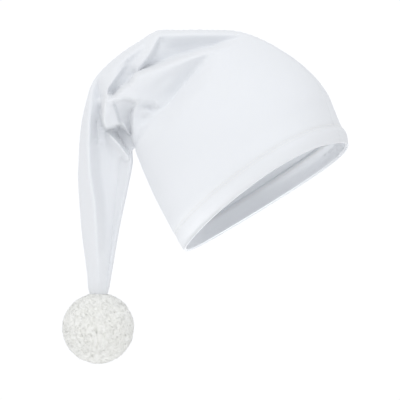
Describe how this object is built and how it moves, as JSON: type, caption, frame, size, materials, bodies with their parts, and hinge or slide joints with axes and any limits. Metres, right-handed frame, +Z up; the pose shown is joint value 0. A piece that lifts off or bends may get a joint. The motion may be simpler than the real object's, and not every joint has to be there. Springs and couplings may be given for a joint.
{
  "type": "nightcap",
  "caption": "White knitted nightcap with a deep crown, a long tail folded over at the top and hanging down behind, and a round yarn pompom at its tip.",
  "frame": {"origin": "middle of the head opening, where the wearer's head goes in", "axes": "+Z up as worn, +X towards the wearer's front, +Y towards the wearer's left"},
  "size_m": [0.3062, 0.1586, 0.3493],
  "materials": {
    "cotton_jersey": "white cotton jersey, fine knit, matt with a faint sheen",
    "turned_hem": "white cotton jersey turned in and sewn down, its wrong side showing",
    "pompom_yarn": "off-white brushed yarn, cut and trimmed to a ball"
  },
  "bodies": {
    "root": {"crown_and_tail": "cotton_jersey", "hem": "turned_hem", "pompom": "pompom_yarn"}
  },
  "joints": []
}
